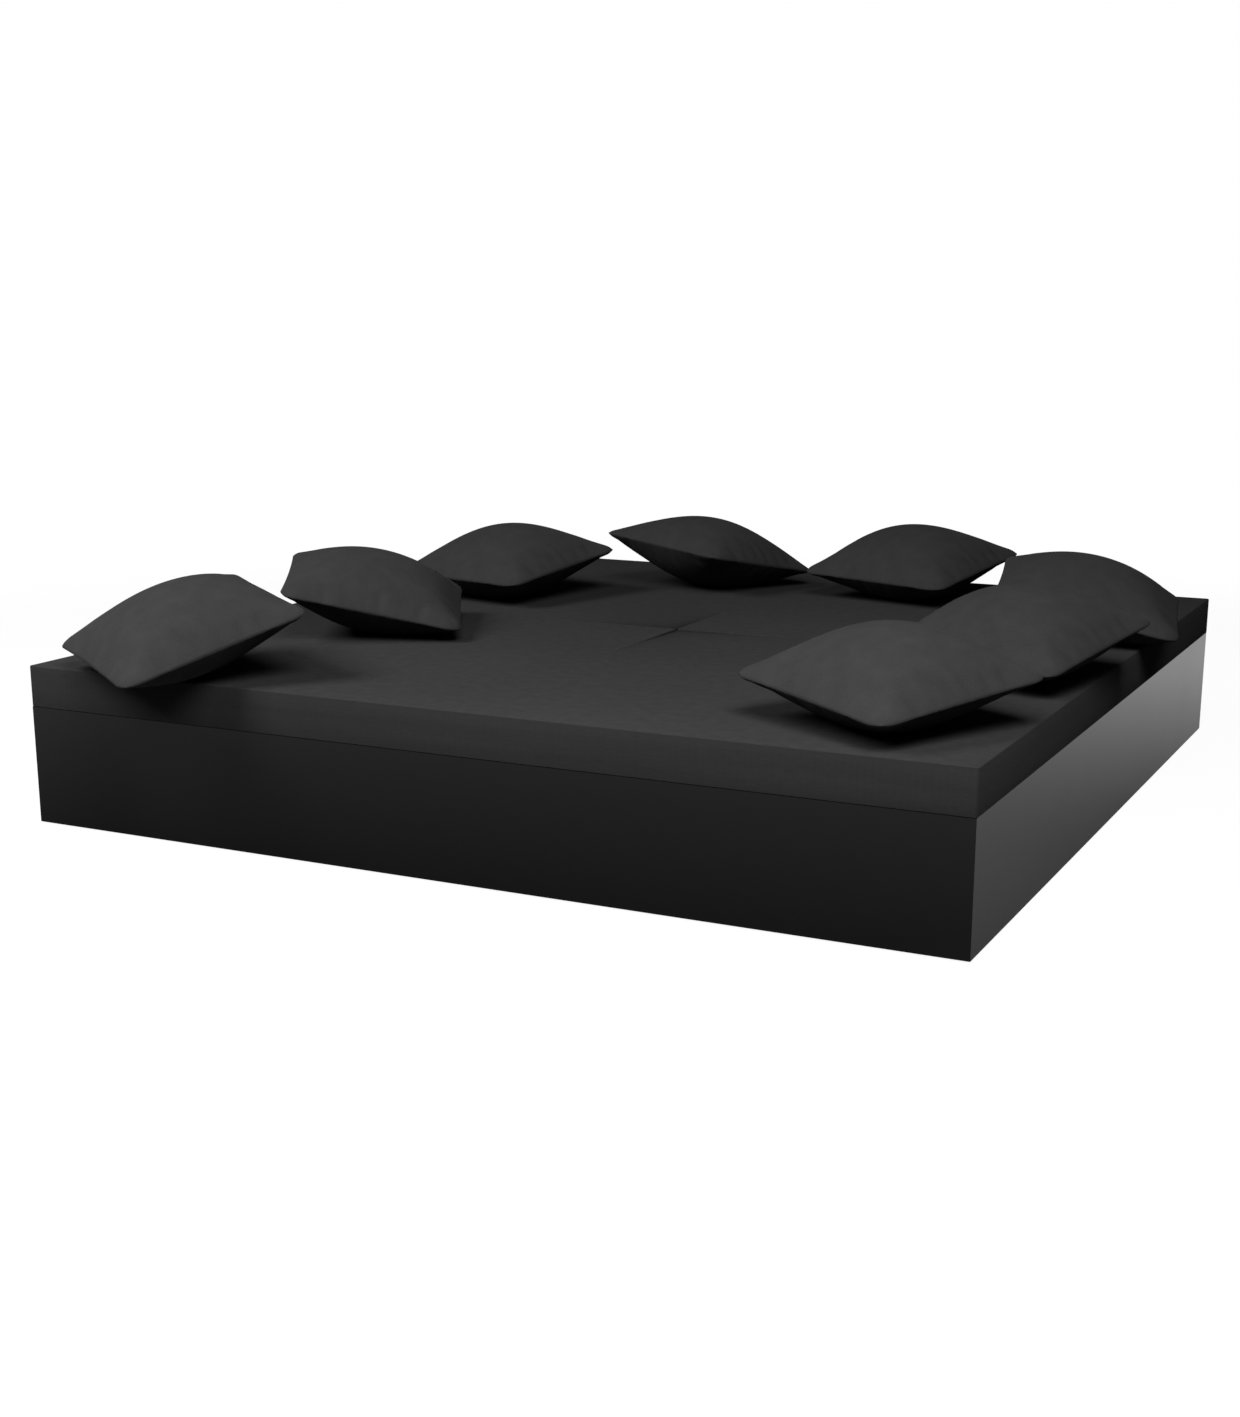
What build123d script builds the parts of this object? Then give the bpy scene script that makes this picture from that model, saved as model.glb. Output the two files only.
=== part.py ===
"""A low square daybed platform: four lacquered side panels joined at mitred corners by bolted posts,
ledgers and half-lapped beams that carry a slatted deck, a flush mattress in a zipped cover, and
loose scatter pillows.  Millimetres, +Z up, front at -Y.  The origin is on the floor under the
middle of the bed."""

import os
from math import cos, radians, sin, sqrt

from build123d import *

os.makedirs("parts", exist_ok=True)

# ---- driving dimensions ----------------------------------------------------------------------
bed_width = 2000.0  # outside of the left panel to the outside of the right one, along X
bed_depth = 2000.0  # outside of the front panel to the outside of the back one, along Y
base_height = 250.0  # floor to the top edge of the side panels and of the slats
mattress_height = 85.0

# side panels
panel_thickness = 25.0
panel_arris = 0.6  # small chamfer along the outer top and bottom edges
glide_height = 4.0  # what the glides lift the woodwork off the floor

# corner posts, and the studs and nuts that pull the panels against them
post_size = 60.0
stud_diameter = 8.0
stud_grip = 18.0  # how deep a stud is screwed into its panel
stud_bore_spare = 2.0  # the bore in the panel goes this much deeper
stud_clearance = 0.5  # all round a stud in its post
thread_clearance = 0.05  # all round a thread
stud_tail = 4.0  # what a stud shows beyond its nut
nut_width = 13.0  # across the flats
nut_height = 7.0
front_stud_height = 90.0  # studs of the front and back panels, above the floor
side_stud_height = 130.0  # studs of the left and right panels, which pass above those

# ledgers along the panels
ledger_thickness = 30.0
ledger_height = 40.0
ledger_end_gap = 0.5  # at a post and at a beam shoe

# crossed beams, and the housed shoes that carry their ends
beam_width = 40.0
beam_height = 120.0
beam_end_gap = 3.0  # between a beam's end and the panel
lap_clearance = 0.25  # each side of a beam in the other one's notch
shoe_thickness = 30.0
shoe_cheek = 25.0  # each side of the housing
shoe_sill = 15.0  # below the housing
shoe_clearance = 0.5  # each side of a beam in its housing

# legs, tenoned into the beams
leg_size = 60.0
leg_share = 0.5  # the outer legs stand this share of the way from the middle to a panel
tenon_size = 25.0
tenon_length = 25.0
tenon_clearance = 0.25  # each side of a tenon in its mortise
mortise_spare = 2.0  # a mortise goes this much deeper than its tenon

# slatted deck, in a left and a right half that meet over the cross beam
slat_thickness = 18.0
slat_width = 95.0
slats_per_side = 16
slat_gap = 1.0  # at the panels, and each side of the middle

# nylon glides under the posts and the legs
glide_size = 40.0
glide_edge = 1.0  # chamfer round the foot

# mattress: a zipped cover round four foam cores
rest_gap = 0.3  # what a loose soft piece lies above what carries it
cover_thickness = 4.0  # padded upholstery cloth
cover_corner_radius = 8.0
cover_edge = 2.0  # chamfer round the top and bottom faces
foam_clearance = 0.5  # each side of a foam core

# zip along the middle of the cover's back band
zip_length = 1600.0
zip_tape_width = 16.0
zip_tape_thickness = 1.0
zip_chain_width = 5.0
zip_chain_thickness = 2.0  # tape and chain together
zip_stop_length = 4.0
zip_stop_thickness = 3.0  # tape and stop together
zip_recess_clearance = 0.2
slider_length = 14.0
slider_width = 10.0
slider_height = 3.0
slider_corner = 3.0
slider_clearance = 0.3
bail_length = 9.0  # the small fixed loop on the slider's back
bail_height = 2.5
bail_wire = 0.8  # half the loop's width, and its thickness

# scatter pillows: lens-shaped squares
pillow_side = 405.0  # along one side, filled
pillow_thickness = 170.0
pillow_fullness = 0.8  # power of the crown's profile: smaller is boxier
pillow_side_pull = 10.0  # what the straight sides lose to the drawn-in cloth between the corners
pillow_corner_radius = 35.0
pillow_corner_chords = 5
pillow_section_shares = (0, 0.12, 0.3, 0.5, 0.7, 0.87, 0.97)  # of the half thickness

# where each pillow lies: its centre as shares of the bed's half width and half depth, its turn
# about the vertical, then the tilts about its own X and Y
pillow_places = (
    (-0.655, -0.935, -32.5, 17.0, 4.5),
    (-0.605, -0.315, 30.5, 6.0, 12.5),
    (-0.605, 0.29, -13.0, 7.5, 0.0),
    (-0.21, 0.655, -19.0, -10.5, 4.5),
    (0.32, 0.71, -13.5, 7.5, 1.5),
    (0.86, 0.305, 11.5, 5.5, 12.0),
    (0.84, -0.215, -16.5, 9.0, 2.0),
    (0.755, -0.74, -29.0, 6.0, 4.5),
)

# ---- heights and places that follow ------------------------------------------------------------
deck_bottom = base_height - slat_thickness
beam_bottom = deck_bottom - beam_height
mattress_bottom = base_height + rest_gap
mattress_top = mattress_bottom + mattress_height
inner_x = bed_width / 2 - panel_thickness  # inner faces of the left and right panels
inner_y = bed_depth / 2 - panel_thickness
post_x = inner_x - post_size / 2
post_y = inner_y - post_size / 2
leg_x = inner_x * leg_share
leg_y = inner_y * leg_share
shoe_half_width = beam_width / 2 + shoe_clearance + shoe_cheek

corner_signs = {
    "front_left": (-1, -1),
    "front_right": (1, -1),
    "back_right": (1, 1),
    "back_left": (-1, 1),
}

# each side's floor plane, with local x along the panel and local y into the bed, then the panel's
# length and the height of its studs
sides = {
    "front": (Plane((0, -bed_depth / 2, 0), (1, 0, 0)), bed_width, front_stud_height),
    "right": (Plane((bed_width / 2, 0, 0), (0, 1, 0)), bed_depth, side_stud_height),
    "back": (Plane((0, bed_depth / 2, 0), (-1, 0, 0)), bed_width, front_stud_height),
    "left": (Plane((-bed_width / 2, 0, 0), (0, -1, 0)), bed_depth, side_stud_height),
}


def finish(builder, name):
    """Label a finished sub-part and write it to its own file."""
    builder.part.label = name
    export_step(builder.part, f"parts/{name}.step")


def upright_plane(floor_plane, depth):
    """A plane that stands depth inside a side's outer face: x along the side, y up, z outwards."""
    origin = floor_plane.from_local_coords((0, depth, 0))
    return Plane(origin, x_dir=floor_plane.x_dir, z_dir=-floor_plane.y_dir)


def stud_points(side):
    """Where a side's two studs stand on its upright planes."""
    _, length, height = sides[side]
    run = length / 2 - panel_thickness - post_size / 2
    return [(-run, height), (run, height)]


# ---- side panels: mitred at both ends, bored for the studs --------------------------------------
def side_panel(side):
    floor_plane, length, _ = sides[side]
    half = length / 2
    with BuildPart() as panel:
        with BuildSketch(floor_plane.offset(glide_height)):
            with BuildLine():
                Polyline(
                    (-half, 0),
                    (half, 0),
                    (half - panel_thickness, panel_thickness),
                    (-half + panel_thickness, panel_thickness),
                    close=True,
                )
            make_face()
        extrude(amount=base_height - glide_height)
        outer_face = panel.faces().sort_by(Axis((0, 0, 0), tuple(floor_plane.y_dir)))[0]
        long_edges = outer_face.edges().filter_by(Axis((0, 0, 0), tuple(floor_plane.x_dir)))
        chamfer(long_edges, panel_arris)
        with BuildSketch(upright_plane(floor_plane, panel_thickness)):
            with Locations(*stud_points(side)):
                Circle(stud_diameter / 2 + thread_clearance)
        extrude(amount=stud_grip + stud_bore_spare, mode=Mode.SUBTRACT)
    return panel


for side in sides:
    finish(side_panel(side), f"{side}_panel")


# ---- corner posts: a stud hole through each of them both ways ----------------------------------
def corner_post(x_sign, y_sign):
    middle = Plane((x_sign * post_x, y_sign * post_y, glide_height))
    with BuildPart() as post:
        with BuildSketch(middle):
            Rectangle(post_size, post_size)
        extrude(amount=deck_bottom - glide_height)
        with BuildSketch(Plane(middle.origin, (1, 0, 0), (0, -1, 0))):
            with Locations((0, front_stud_height - glide_height)):
                Circle(stud_diameter / 2 + stud_clearance)
        extrude(amount=post_size / 2, both=True, mode=Mode.SUBTRACT)
        with BuildSketch(Plane(middle.origin, (0, 1, 0), (1, 0, 0))):
            with Locations((0, side_stud_height - glide_height)):
                Circle(stud_diameter / 2 + stud_clearance)
        extrude(amount=post_size / 2, both=True, mode=Mode.SUBTRACT)
    return post


for corner, signs in corner_signs.items():
    finish(corner_post(*signs), f"{corner}_post")

# ---- studs screwed into the panels, and the nuts that draw them to the posts --------------------
stud_length = stud_grip + post_size + nut_height + stud_tail

with BuildPart() as corner_studs:
    for side, (floor_plane, _, _) in sides.items():
        with BuildSketch(upright_plane(floor_plane, panel_thickness - stud_grip)):
            with Locations(*stud_points(side)):
                Circle(stud_diameter / 2)
        extrude(amount=-stud_length)
finish(corner_studs, "corner_studs")

with BuildPart() as corner_nuts:
    for side, (floor_plane, _, _) in sides.items():
        with BuildSketch(upright_plane(floor_plane, panel_thickness + post_size)):
            with Locations(*stud_points(side)):
                RegularPolygon(nut_width / 2, 6, major_radius=False)
                Circle(stud_diameter / 2 + thread_clearance, mode=Mode.SUBTRACT)
        extrude(amount=-nut_height)
finish(corner_nuts, "corner_nuts")


# ---- ledgers: two along each panel, from a beam shoe to a post ---------------------------------
def ledger(side, sign):
    floor_plane, length, _ = sides[side]
    start = shoe_half_width + ledger_end_gap
    end = length / 2 - panel_thickness - post_size - ledger_end_gap
    with BuildPart() as batten:
        with BuildSketch(floor_plane.offset(deck_bottom - ledger_height)):
            with Locations((sign * (start + end) / 2, panel_thickness + ledger_thickness / 2)):
                Rectangle(end - start, ledger_thickness)
        extrude(amount=ledger_height)
    return batten


for side in sides:
    for number, sign in enumerate((-1, 1), start=1):
        finish(ledger(side, sign), f"{side}_ledger_{number}")


# ---- beams: half-lapped where they cross, mortised for the legs ---------------------------------
def beam(size_x, size_y, notch_bottom, leg_middles):
    with BuildPart() as rail:
        with BuildSketch(Plane.XY.offset(beam_bottom)):
            Rectangle(size_x, size_y)
        extrude(amount=beam_height)
        with BuildSketch(Plane.XY.offset(notch_bottom)):
            Rectangle(beam_width + 2 * lap_clearance, beam_width + 2 * lap_clearance)
        extrude(amount=beam_height / 2, mode=Mode.SUBTRACT)
        with BuildSketch(Plane.XY.offset(beam_bottom)):
            with Locations(*leg_middles):
                Rectangle(tenon_size + 2 * tenon_clearance, tenon_size + 2 * tenon_clearance)
        extrude(amount=tenon_length + mortise_spare, mode=Mode.SUBTRACT)
    return rail


long_beam = beam(
    2 * (inner_x - beam_end_gap), beam_width, beam_bottom + beam_height / 2, [(-leg_x, 0), (0, 0), (leg_x, 0)]
)
finish(long_beam, "long_beam")
cross_beam = beam(beam_width, 2 * (inner_y - beam_end_gap), beam_bottom, [(0, -leg_y), (0, leg_y)])
finish(cross_beam, "cross_beam")


# ---- beam shoes: a block on the middle of each panel, housed for the beam's end ----------------
def beam_shoe(side):
    floor_plane, _, _ = sides[side]
    housing = beam_width / 2 + shoe_clearance
    with BuildPart() as shoe:
        with BuildSketch(upright_plane(floor_plane, panel_thickness)):
            with BuildLine():
                Polyline(
                    (-shoe_half_width, beam_bottom - shoe_sill),
                    (shoe_half_width, beam_bottom - shoe_sill),
                    (shoe_half_width, deck_bottom),
                    (housing, deck_bottom),
                    (housing, beam_bottom),
                    (-housing, beam_bottom),
                    (-housing, deck_bottom),
                    (-shoe_half_width, deck_bottom),
                    close=True,
                )
            make_face()
        extrude(amount=-shoe_thickness)
    return shoe


for side in sides:
    finish(beam_shoe(side), f"{side}_beam_shoe")

# ---- legs: one under the crossing and one under each arm of the beams --------------------------
leg_places = {
    "centre": (0, 0),
    "left": (-leg_x, 0),
    "right": (leg_x, 0),
    "front": (0, -leg_y),
    "back": (0, leg_y),
}


def leg(x, y):
    with BuildPart() as post:
        with BuildSketch(Plane((x, y, glide_height))):
            Rectangle(leg_size, leg_size)
        extrude(amount=beam_bottom - glide_height)
        with BuildSketch(Plane((x, y, beam_bottom))):
            Rectangle(tenon_size, tenon_size)
        extrude(amount=tenon_length)
    return post


for place, (x, y) in leg_places.items():
    finish(leg(x, y), f"{place}_leg")

# ---- glides: nylon pads under every leg and post ------------------------------------------------
glide_places = list(leg_places.values()) + [(x * post_x, y * post_y) for x, y in corner_signs.values()]

with BuildPart() as glides:
    with BuildSketch(Plane.XY):
        with Locations(*glide_places):
            Rectangle(glide_size, glide_size)
    extrude(amount=glide_height)
    chamfer(glides.edges().group_by(Axis.Z)[0], glide_edge)
finish(glides, "glides")


# ---- slats: boards from each side ledger to the cross beam, level with the panels' top edge ----
def slats(x_sign):
    board_length = inner_x - 2 * slat_gap
    last_slat = inner_y - slat_gap - slat_width / 2
    pitch = 2 * last_slat / (slats_per_side - 1)
    with BuildPart() as boards:
        with BuildSketch(Plane.XY.offset(deck_bottom)):
            with Locations((x_sign * inner_x / 2, 0)):
                with GridLocations(board_length, pitch, 1, slats_per_side):
                    Rectangle(board_length, slat_width)
        extrude(amount=slat_thickness)
    return boards


finish(slats(-1), "left_slats")
finish(slats(1), "right_slats")

# ---- mattress cover: a closed cloth shell, with a recess for the zip along its back band -------
zip_height = mattress_bottom + mattress_height / 2
recess_floor = bed_depth / 2 - zip_tape_thickness - zip_recess_clearance
zip_plane = Plane((0, recess_floor, zip_height), (1, 0, 0), (0, 1, 0))

with BuildPart() as mattress_cover:
    with BuildSketch(Plane.XY.offset(mattress_bottom)):
        RectangleRounded(bed_width, bed_depth, cover_corner_radius)
    extrude(amount=mattress_height)
    rims = mattress_cover.edges().group_by(Axis.Z)
    chamfer(rims[0] + rims[-1], cover_edge)
    with BuildSketch(Plane.XY.offset(mattress_bottom + cover_thickness)):
        Rectangle(bed_width - 2 * cover_thickness, bed_depth - 2 * cover_thickness)
    extrude(amount=mattress_height - 2 * cover_thickness, mode=Mode.SUBTRACT)
    with BuildSketch(zip_plane):
        Rectangle(zip_length + 2 * zip_recess_clearance, zip_tape_width + 2 * zip_recess_clearance)
    extrude(amount=zip_tape_thickness + zip_recess_clearance, mode=Mode.SUBTRACT)
finish(mattress_cover, "mattress_cover")


# ---- foam: four cores side by side inside the cover ---------------------------------------------
def foam_core(x_sign, y_sign):
    core_x = bed_width / 2 - cover_thickness - 2 * foam_clearance
    core_y = bed_depth / 2 - cover_thickness - 2 * foam_clearance
    with BuildPart() as core:
        with BuildSketch(Plane.XY.offset(mattress_bottom + cover_thickness)):
            with Locations((x_sign * (core_x / 2 + foam_clearance), y_sign * (core_y / 2 + foam_clearance))):
                Rectangle(core_x, core_y)
        extrude(amount=mattress_height - 2 * cover_thickness - foam_clearance)
    return core


for corner, signs in corner_signs.items():
    finish(foam_core(*signs), f"{corner}_foam")

# ---- zip: tape and chain in the cover's recess, with a stop at each end ------------------------
zip_stop_middle = (zip_length - zip_stop_length) / 2

with BuildPart() as mattress_zip:
    with BuildSketch(zip_plane):
        Rectangle(zip_length, zip_tape_width)
    extrude(amount=zip_tape_thickness)
    with BuildSketch(zip_plane):
        Rectangle(zip_length, zip_chain_width)
    extrude(amount=zip_chain_thickness)
    with BuildSketch(zip_plane):
        with Locations((-zip_stop_middle, 0), (zip_stop_middle, 0)):
            Rectangle(zip_stop_length, zip_chain_width)
    extrude(amount=zip_stop_thickness)
finish(mattress_zip, "mattress_zip")

# ---- zip slider: a saddle that straddles the chain, parked at the closed end -------------------
slider_start = -zip_length / 2 + zip_stop_length + slider_length / 2 + slider_clearance
saddle_base = zip_tape_thickness + slider_clearance
chain_slot_height = zip_chain_thickness - zip_tape_thickness

with BuildPart() as zip_slider:
    with BuildSketch(zip_plane.offset(saddle_base)):
        with Locations((slider_start, 0)):
            RectangleRounded(slider_length, slider_width, slider_corner)
    extrude(amount=slider_height)
    with BuildSketch(zip_plane.offset(saddle_base)):
        with Locations((slider_start, 0)):
            Rectangle(slider_length, zip_chain_width + 2 * slider_clearance)
    extrude(amount=chain_slot_height, mode=Mode.SUBTRACT)
    with BuildSketch(Plane((slider_start, recess_floor, zip_height), (1, 0, 0), (0, 0, 1))):
        with BuildLine():
            bail_foot = saddle_base + slider_height
            bail_half = bail_length / 2
            Polyline(
                (-bail_half, bail_foot),
                (-bail_half, bail_foot + bail_height),
                (bail_half, bail_foot + bail_height),
                (bail_half, bail_foot),
                (bail_half - bail_wire, bail_foot),
                (bail_half - bail_wire, bail_foot + bail_height - bail_wire),
                (-bail_half + bail_wire, bail_foot + bail_height - bail_wire),
                (-bail_half + bail_wire, bail_foot),
                close=True,
            )
        make_face()
    extrude(amount=bail_wire, both=True)
finish(zip_slider, "zip_slider")


# ---- scatter pillows: one lens of planar facets, built up from its seam, then laid out ---------
def pillow_outline(share):
    """Corner points of the section at a share of the half thickness.

    The rounded corners are chords at the same angles in every section, so a facet between two
    sections is always flat.
    """
    middle = (pillow_side - pillow_side_pull) / 2 * sqrt(1 - share ** (1 / pillow_fullness))
    diagonal = pillow_side / 2 * sqrt(1 - share ** (0.5 / pillow_fullness))
    radius = max(pillow_corner_radius, (middle - diagonal) / (1 - sqrt(0.5)))
    straight = middle - radius
    points = []
    for x_sign, y_sign, first_angle in ((1, 1, 0), (-1, 1, 90), (-1, -1, 180), (1, -1, 270)):
        for step in range(pillow_corner_chords + 1):
            angle = radians(first_angle + 90 * step / pillow_corner_chords)
            points.append((x_sign * straight + radius * cos(angle), y_sign * straight + radius * sin(angle)))
    return points


def pillow_half(z_sign):
    """The facets above the seam, or below it."""
    height = z_sign * pillow_thickness / 2
    rings = [[(x, y, share * height) for x, y in pillow_outline(share)] for share in pillow_section_shares]
    facets = [Face(Wire.make_polygon(rings[-1]))]
    for low, high in zip(rings, rings[1:]):
        for a, b, c, d in zip(low, low[1:] + low[:1], high[1:] + high[:1], high):
            facets.append(Face(Wire.make_polygon([a, b, c, d])))
    return facets


with BuildPart() as pillow:
    add(Solid(Shell(pillow_half(1) + pillow_half(-1))))

# a pillow rests on the flat of the mattress by its lowest point there
over_mattress = Box(bed_width - 2 * cover_edge, bed_depth - 2 * cover_edge, 2 * pillow_side)

for number, (across, along, turn, tilt_x, tilt_y) in enumerate(pillow_places, start=1):
    centre = (across * bed_width / 2, along * bed_depth / 2, 0)
    lie = Plane(centre).rotated((0, 0, turn)).rotated((tilt_x, 0, 0)).rotated((0, tilt_y, 0))
    lowest = (lie.location * pillow.part & over_mattress).bounding_box().min.Z
    with BuildPart() as laid_pillow:
        with Locations(Location((0, 0, mattress_top + rest_gap - lowest)) * lie.location):
            add(pillow.part)
    finish(laid_pillow, f"pillow_{number}")
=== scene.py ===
# %% [markdown]
# # A black daybed with eight loose pillows
# The bed is a low square box of black lacquered board with a flat mattress of the same size on top.
# Inside the box, pine posts, ledgers and half-lapped beams carry a deck of slats. The rigid pieces
# come from the construction model, so this lesson gives them their finish. The soft pieces, which are
# the mattress cover, its foam and the pillows, are only plain solids there, and they are modelled here.

import math

import bmesh
import bpy
from mathutils import Matrix, Vector


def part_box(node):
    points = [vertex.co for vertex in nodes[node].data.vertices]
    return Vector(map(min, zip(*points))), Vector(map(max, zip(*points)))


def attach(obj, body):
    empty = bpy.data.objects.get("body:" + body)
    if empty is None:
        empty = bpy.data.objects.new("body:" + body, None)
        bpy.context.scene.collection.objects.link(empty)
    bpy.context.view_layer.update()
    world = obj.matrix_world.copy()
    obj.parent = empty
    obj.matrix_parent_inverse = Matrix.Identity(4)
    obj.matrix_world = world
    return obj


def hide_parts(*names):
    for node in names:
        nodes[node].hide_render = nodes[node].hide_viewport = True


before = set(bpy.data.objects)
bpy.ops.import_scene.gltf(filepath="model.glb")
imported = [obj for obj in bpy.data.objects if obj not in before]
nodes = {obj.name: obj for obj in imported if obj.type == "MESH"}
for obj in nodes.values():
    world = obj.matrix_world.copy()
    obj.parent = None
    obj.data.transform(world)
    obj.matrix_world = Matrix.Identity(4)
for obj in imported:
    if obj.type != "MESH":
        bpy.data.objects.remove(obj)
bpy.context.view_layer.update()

# %% [markdown]
# ## Sizes that the pieces share
# Every place is read from the frame, so nothing has to be fitted by eye. The mattress gives the top
# that the pillows lie on, and one panel gives the height of the base.

# %% Shared sizes
MM = 0.001
cover_low, cover_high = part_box("mattress_cover")
mattress_top = cover_high.z
base_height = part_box("front_panel")[1].z
print(f"The base is {base_height:.3f} m high and the mattress ends at {mattress_top:.3f} m")

# %% [markdown]
# ## Helpers for shaping
# A new primitive comes selected all over, and an operator acts on whatever is selected. So each piece
# starts with everything deselected, and its faces and edges are picked by where they lie or face.


# %% Shaping helpers
def deselect_everything():
    """Leaves no object selected, so that the next primitive is edited alone."""
    bpy.ops.object.select_all(action="DESELECT")


def pick(piece, kind, wanted):
    """In edit mode, selects the vertices, edges or faces of a piece for which wanted() is true."""
    bpy.ops.mesh.select_mode(type=kind)
    bpy.ops.mesh.select_all(action="DESELECT")
    shape = bmesh.from_edit_mesh(piece.data)
    parts = {"VERT": shape.verts, "EDGE": shape.edges, "FACE": shape.faces}[kind]
    for part in parts:
        part.select = wanted(part)
    shape.select_flush_mode()
    bmesh.update_edit_mesh(piece.data)


def middle(part):
    """The middle of an edge or a face."""
    corners = [vertex.co for vertex in part.verts]
    return sum(corners, Vector()) / len(corners)


def run_of(edge):
    """The direction of an edge, made positive, so that both senses count as one."""
    return Vector([abs(share) for share in (edge.verts[1].co - edge.verts[0].co).normalized()])


def copy_of(piece, name):
    """A copy of a finished piece with a mesh of its own."""
    twin = piece.copy()
    twin.data = piece.data.copy()
    twin.name = name
    bpy.context.scene.collection.objects.link(twin)
    return twin


# %% [markdown]
# ## Helpers for materials
# Colours are written as they are seen on a screen, in sRGB, and Blender's sockets take linear values,
# so one function turns the first into the second. Another adds a node with its settings and links.


# %% Material helpers
def linear(hex_colour):
    """An sRGB colour such as "#1a1a1a" as linear red, green, blue and alpha."""
    channels = [int(hex_colour[start:start + 2], 16) / 255 for start in (1, 3, 5)]
    return [c / 12.92 if c <= 0.04045 else ((c + 0.055) / 1.055) ** 2.4 for c in channels] + [1.0]


def add(tree, kind, settings=None, inputs=None):
    """Adds a node, sets its properties, and fills its sockets with values or links."""
    new = tree.nodes.new(kind)
    for name, value in (settings or {}).items():
        setattr(new, name, value)
    for socket, value in (inputs or {}).items():
        if isinstance(value, bpy.types.NodeSocket):
            tree.links.new(value, new.inputs[socket])
        else:
            new.inputs[socket].default_value = value
    return new


def blank_material(name):
    """A new material with an empty node tree and its output."""
    material = bpy.data.materials.new(name)
    material.use_nodes = True
    material.node_tree.nodes.clear()
    return material, material.node_tree, add(material.node_tree, "ShaderNodeOutputMaterial")


def finish_with(piece, material):
    """Gives a piece one material."""
    piece.data.materials.clear()
    piece.data.materials.append(material)


MIX_A, MIX_B, MIX_COLOUR = 6, 7, 2  # the colour sockets of a Mix node
WAVE_PERIOD = math.pi / 10  # metres between two bands of a wave texture whose scale is 1

# %% [markdown]
# ## Camera
# The camera stands in front of the bed, a little to its right and about as high as a table lamp. Its
# picture is shifted up a little, which sets the bed lower in the picture without turning the camera.

# %% Camera
CAMERA_PLACE = (1.853, -4.018, 1.082)
CAMERA_TURN = 26.43  # degrees to the left of straight ahead
CAMERA_DIP = 14.25  # degrees below the horizon
CAMERA_LENS = 49.95
CAMERA_SHIFT = 0.057

camera = bpy.data.objects.new("camera", bpy.data.cameras.new("camera"))
bpy.context.scene.collection.objects.link(camera)
camera.location = CAMERA_PLACE
camera.rotation_euler = (math.radians(90 - CAMERA_DIP), 0, math.radians(CAMERA_TURN))
camera.data.lens = CAMERA_LENS
camera.data.shift_y = CAMERA_SHIFT
bpy.context.scene.camera = camera
bpy.context.scene.view_settings.view_transform = "Standard"
print("The camera looks from", CAMERA_PLACE)

# %% [markdown]
# ## Studio
# The room is plain white. An image of a real room could surround the bed instead, but then its shape
# would show in the lacquer. The world is white to the camera and in reflections, while it lights the
# bed only faintly. The light comes from two soft lamps high in front of the bed, one at each corner.
# Each has a grid that keeps its light on its own side, so the pillows at the front are the brightest
# and every pillow has a short dark shadow under it.

# %% World
WORLD_STRENGTH = 0.02
world = bpy.data.worlds.new("white_room")
bpy.context.scene.world = world
world.use_nodes = True
sky = world.node_tree
sky.nodes.clear()
seen_by = add(sky, "ShaderNodeLightPath")
camera_or_gloss = add(
    sky, "ShaderNodeMath", {"operation": "MAXIMUM"},
    {0: seen_by.outputs["Is Camera Ray"], 1: seen_by.outputs["Is Glossy Ray"]},
)
any_view = add(
    sky, "ShaderNodeMath", {"operation": "MAXIMUM"},
    {0: camera_or_gloss.outputs[0], 1: seen_by.outputs["Is Transmission Ray"]},
)
ambient, white = [
    add(sky, "ShaderNodeBackground", inputs={"Color": linear("#ffffff"), "Strength": strength})
    for strength in (WORLD_STRENGTH, 1.0)
]
room = add(
    sky, "ShaderNodeMixShader",
    inputs={0: any_view.outputs[0], 1: ambient.outputs[0], 2: white.outputs[0]},
)
add(sky, "ShaderNodeOutputWorld", inputs={"Surface": room.outputs[0]})
print("The room lights the bed with a strength of", WORLD_STRENGTH)


# %% Lamps
LAMP_SIZE = 2.0
LAMP_SPREAD = 118  # degrees: a grid on the lamp keeps its light on its own side


def soft_lamp(name, place, target, power):
    """A square area lamp that faces a target."""
    lamp = bpy.data.objects.new(name, bpy.data.lights.new(name, "AREA"))
    bpy.context.scene.collection.objects.link(lamp)
    lamp.location = place
    lamp.rotation_euler = (Vector(target) - Vector(place)).to_track_quat("-Z", "Y").to_euler()
    lamp.data.size = LAMP_SIZE
    lamp.data.spread = math.radians(LAMP_SPREAD)
    lamp.data.energy = power
    lamp.visible_camera = False


soft_lamp("left_lamp", (-2.5, -2.8, 3.2), (-1.5, -1.9, 0.3), 75)  # watts
soft_lamp("right_lamp", (1.75, -2.8, 3.2), (1.1, -1.9, 0.3), 69)
print("Two lamps of", LAMP_SIZE, "m stand in front of the bed")
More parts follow.
